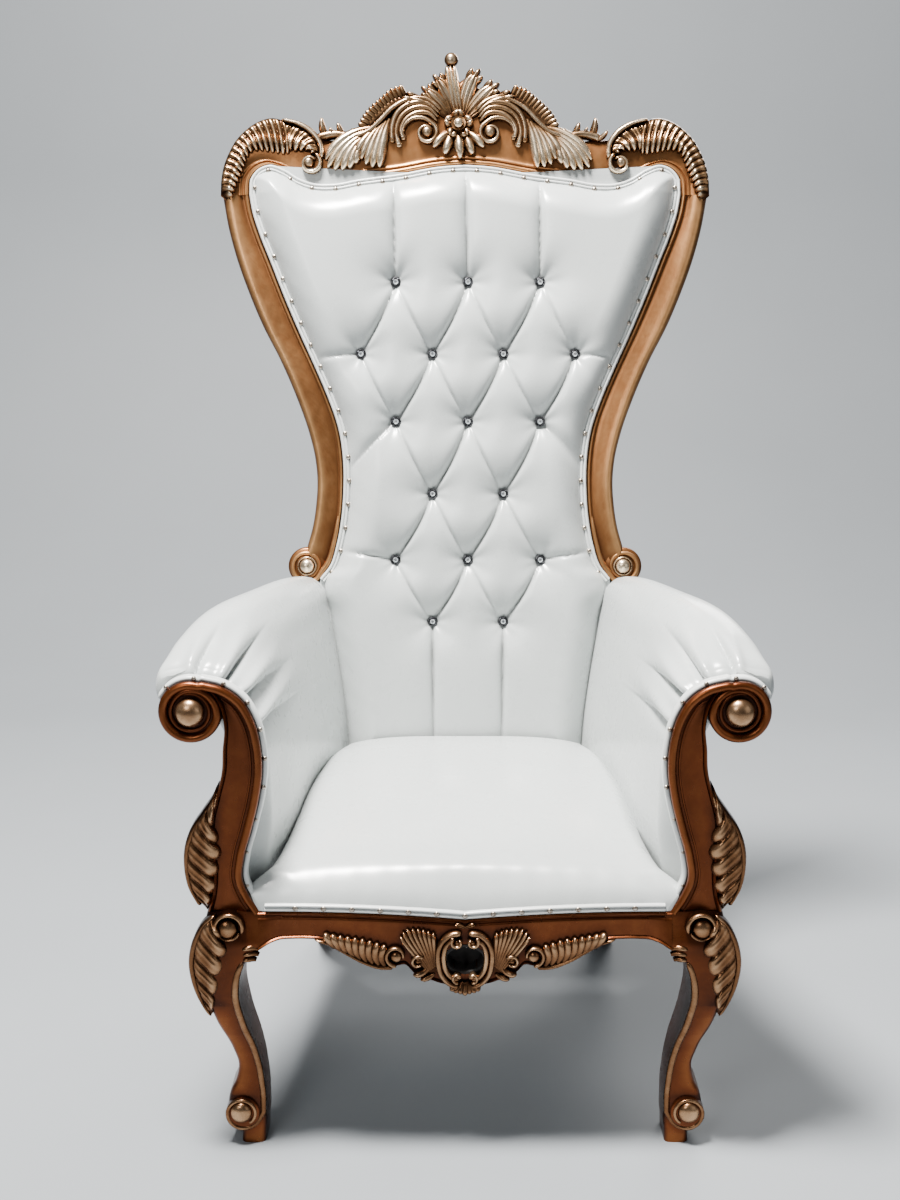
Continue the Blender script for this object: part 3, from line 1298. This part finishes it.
def makeSeat():
    look = seatLook
    profile = through(look["profile"], look["rows"])
    across = np.sin(np.linspace(-0.5, 0.5, look["columns"]) * math.pi)
    depth, middle, sides, half = (profile[:, k][:, None] for k in range(4))
    x = half * across
    height = middle + (sides - middle) * np.abs(across) ** 4
    roll = np.clip((np.abs(across) - 0.90) / 0.10, 0, 1)
    height = height - look["edgeDrop"] * roll**2 * smooth((depth - 5) / 40)
    height = height - (seatLine - apronTop(x)) * smooth(1 - depth / 40)
    # the nails draw the front edge into soft ripples, and the corners into short folds
    wave = np.cos(2 * math.pi * x / seatGimpLook["nailSpacing"])
    height = height + look["ripple"] * wave * np.exp(-depth / 26) * (depth > 2)
    corner = np.exp(-((np.abs(x) - look["cornerX"]) ** 2) / 500) * np.exp(-depth / 60)
    height = height + look["cornerFold"] * corner * np.sin(depth / 7 + x / 12)
    top = np.stack([x, height, -depth - 0.25 * roll], -1)
    low = np.full_like(half, seatLine + 0.6)
    under = np.stack([np.hstack(pair) for pair in ((half, -half), (low, low), (-depth, -depth))], -1)
    shape = loft(np.concatenate([top, under], axis=1))
    makePadded("seat_leather", shape, onFront, "seat_pad")
    print("seat stuffed")


armSections = {
    "front": [
        (317, 366), (316, 411), (303, 485), (288, 573), (290, 615), (300, 660), (324, 698), (360, 717),
        (398, 716), (430, 706), (437, 676), (420, 641), (398, 620), (350, 628), (333, 580), (346, 366),
    ],
    "middle": [
        (266, 366), (256, 440), (250, 500), (250, 573), (254, 630), (264, 690), (280, 740), (308, 768),
        (338, 763), (356, 735), (358, 690), (352, 655), (332, 622), (316, 560), (310, 480), (308, 366),
    ],
    "rear": [
        (200, 366), (199, 440), (203, 500), (213, 573), (223, 630), (233, 684), (244, 722), (266, 736),
        (281, 731), (291, 706), (294, 680), (290, 640), (286, 560), (284, 480), (282, 420), (280, 366),
    ],
}
armPadLook = {
    "stations": 120, "around": 400, "startOut": 33, "middleOut": 270, "lipOut": 24,
    # where a pleat leaves the arch, its length, its depth and how it drifts round as it runs back
    "pleats": [
        ((372, 717), 60, 10.0, 0.25), ((327, 701), 100, 15.0, 0.20),
        ((298, 672), 120, 17.0, 0.02), ((289, 622), 150, 16.0, -0.02),
    ],
    "pleatWidth": 4.2,
    "rollSwell": 13.0,   # how far the top of the roll bulges behind the arm front
    "sideSwell": 25.0,   # how far the inner side bulges over the seat
    "rimDraw": 7.5,
}


def armPadRings():
    look = armPadLook
    sections = [through(armSections[key], look["around"]) for key in ("front", "middle", "rear")]
    # the last section lies flat against the leaning back
    rearOut = -(530 + (sections[2][:, 1] - 600) * math.tan(lean) - 2)
    rings = []
    for s in np.linspace(0, 1, look["stations"]) ** 1.15:
        # a quadratic through the three sections
        weights = ((1 - s) * (1 - 2 * s), 4 * s * (1 - s), s * (2 * s - 1))
        outline = sum(weight * section for weight, section in zip(weights, sections))
        out = weights[0] * -look["startOut"] + weights[1] * -look["middleOut"] + weights[2] * rearOut
        rings.append(np.column_stack([outline, np.broadcast_to(out, len(outline))]))
    return np.array(rings)


def outwardOf(rings):
    # outward directions round each section
    tangent = np.roll(rings[..., :2], -1, 1) - np.roll(rings[..., :2], 1, 1)
    tangent[:, 0], tangent[:, -1] = tangent[:, 1], tangent[:, -2]
    tangent /= np.linalg.norm(tangent, axis=2, keepdims=True)
    return np.stack([-tangent[..., 1], tangent[..., 0]], -1)


def makeArmPads():
    look = armPadLook
    rings = armPadRings()
    outward = outwardOf(rings)
    depth = -rings[..., 2] - look["startOut"]
    first = rings[0, :, :2]
    along = lengthsAlong(first)
    part = (along / along[-1])[None]
    behind = np.exp(-(((depth - 125) / 95) ** 2)) * smooth(depth / 60)
    move = look["rollSwell"] * behind * np.exp(-(((part - 0.53) / 0.1) ** 2))
    low = np.exp(-(((rings[..., 1] - 425) / 105) ** 2)) * (part < 0.3)
    move += look["sideSwell"] * low * smooth(depth / 35) * (1 - smooth((depth - 90) / 260))
    for place, length, deep, drift in look["pleats"]:
        centre = along[np.argmin(np.linalg.norm(first - np.array(place), axis=1))]
        offset = along[None] - centre - drift * depth
        fade = np.exp(-((depth / length) ** 2.4))
        width = look["pleatWidth"] * (1 + depth / 110)
        valley = np.exp(-np.abs(offset) / np.where(offset > 0, 0.42 * width, 1.5 * width))
        ridge = np.exp(-(((offset - 2.4 * width) / (1.7 * width)) ** 2))
        move += deep * fade * (0.5 * ridge - valley)
    # the leather draws in over the front rim
    move -= look["rimDraw"] * np.exp(-depth / 7)
    rings[..., :2] += outward * move[..., None]
    lip = rings[0].copy()
    lip[:, :2] -= outward[0] * 5
    lip[:, 2] = -look["lipOut"]
    shape = loft(np.concatenate([lip[None], rings]), ladder=True)
    makePair(("arm_pad_{}_leather", [shape], leather, "white_leather", None), **padding)
    print("arm pads stuffed")


outsideBackLook = {"frontOut": -47.5, "rearOut": -57.5, "swell": 2.5, "belowPad": 9}


def makeOutsideBack():
    look = outsideBackLook
    t = np.linspace(0, 1, 90)[:, None]
    across = np.linspace(-1, 1, 60)
    crown = archHeight(across * (archEdge[-1][0] - 4)) - 4
    foot = padFoot - look["belowPad"]
    up = foot + (crown[None] - foot) * t
    x = across[None] * (padHalfWidth(up) - 4)
    edge = np.minimum(padHalfWidth(up) - np.abs(x), np.minimum(archHeight(x) - up, up - foot + 20))
    swell = look["swell"] * (1 - np.exp(-np.maximum(edge, 0) / 30))
    rear = np.stack([x, up, look["rearOut"] - swell], -1)
    front = np.stack([x, up, np.full_like(x, look["frontOut"])], -1)
    shape = loft(np.concatenate([rear, front[:, ::-12]], axis=1))
    makePadded("outside_back_leather", shape, onBack, "outside_back")
    print("outside back covered")


studio = {
    "floorColour": (0.27, 0.29, 0.31), "floorHalf": 7.0,
    "backdropFrom": 1.9, "sweep": 1.6, "backdropHeight": 4.2,
    "worldColour": (0.80, 0.87, 0.95), "world": 0.075,
    # name, place from the front plane, size, power and colour
    "lights": [
        ("key", (-0.7, -0.15, 4.2), 0.8, 800, (1, 0.97, 0.93)),
        ("front", (-1.4, -2.5, 2.6), 1.2, 34, (1, 0.99, 0.97)),
        ("fill", (2.6, -1.9, 1.7), 2.0, 9, (0.93, 0.97, 1)),
        ("rim", (0.9, 2.2, 2.3), 1.2, 50, (1, 0.98, 0.95)),
    ],
    "aimHeight": 0.85,
    "lens": 47.1, "cameraBack": 2.08, "cameraHeight": 1.256, "pitchDown": 12.0, "shiftX": -0.0125,
}


def makeFloor():
    # a floor that sweeps up into a backdrop
    material, tree, shader = newMaterial("pale floor", {"Roughness": 0.6})
    dust = noiseNode(tree, 3, 3)
    floorColour = np.array(studio["floorColour"])
    colour = rampNode(tree, dust, [(0.3, tuple(0.97 * floorColour)), (0.7, tuple(floorColour))])
    tree.links.new(colour, shader.inputs["Base Color"])
    start, radius, half = studio["backdropFrom"], studio["sweep"], studio["floorHalf"]
    profile = [(-half, 0.0), (start, 0.0)]
    for turn in np.linspace(0, 0.5 * math.pi, 24)[1:]:
        profile.append((start + radius * math.sin(turn), radius * (1 - math.cos(turn))))
    profile.append((start + radius, studio["backdropHeight"]))
    points = [(x, y, z) for y, z in profile for x in (-half, half)]
    quads = [(2 * k, 2 * k + 1, 2 * k + 3, 2 * k + 2) for k in range(len(profile) - 1)]
    mesh = bpy.data.meshes.new("floor")
    mesh.from_pydata(points, [], quads)
    mesh.materials.append(material)
    mesh.polygons.foreach_set("use_smooth", np.ones(len(mesh.polygons), bool))
    floor = addObject("floor", mesh)


def makeStudio():
    makeFloor()
    world = bpy.data.worlds.new("soft light")
    world.use_nodes = True
    background = world.node_tree.nodes["Background"]
    background.inputs["Color"].default_value = (*studio["worldColour"], 1)
    background.inputs["Strength"].default_value = studio["world"]
    bpy.context.scene.world = world
    for name, place, size, power, colour in studio["lights"]:
        light = bpy.data.lights.new(name, "AREA")
        light.energy = power
        light.size = size
        light.color = colour
        lamp = addObject(name, light)
        lamp.location = (place[0], frontY + place[1], place[2])
        aim = Vector((0, 0, studio["aimHeight"])) - lamp.location
        lamp.rotation_euler = aim.to_track_quat("-Z", "Y").to_euler()
    camera = bpy.data.cameras.new("camera")
    camera.lens = studio["lens"]
    camera.shift_x = studio["shiftX"]
    eye = addObject("camera", camera)
    eye.location = (0, frontY - studio["cameraBack"], studio["cameraHeight"])
    eye.rotation_euler = (math.radians(90 - studio["pitchDown"]), 0, 0)
    bpy.context.scene.camera = eye
    print("studio lit")


makeCrest()
makePosts()
makeArmFronts()
makeApron()
makeFrontLegs()
makeRails()
makeRearLegs()
makeBackPad()
makeButtons()
makeBackGimp()
makeSeatGimp()
makeArmGimps()
makeSeat()
makeArmPads()
makeOutsideBack()
makeStudio()
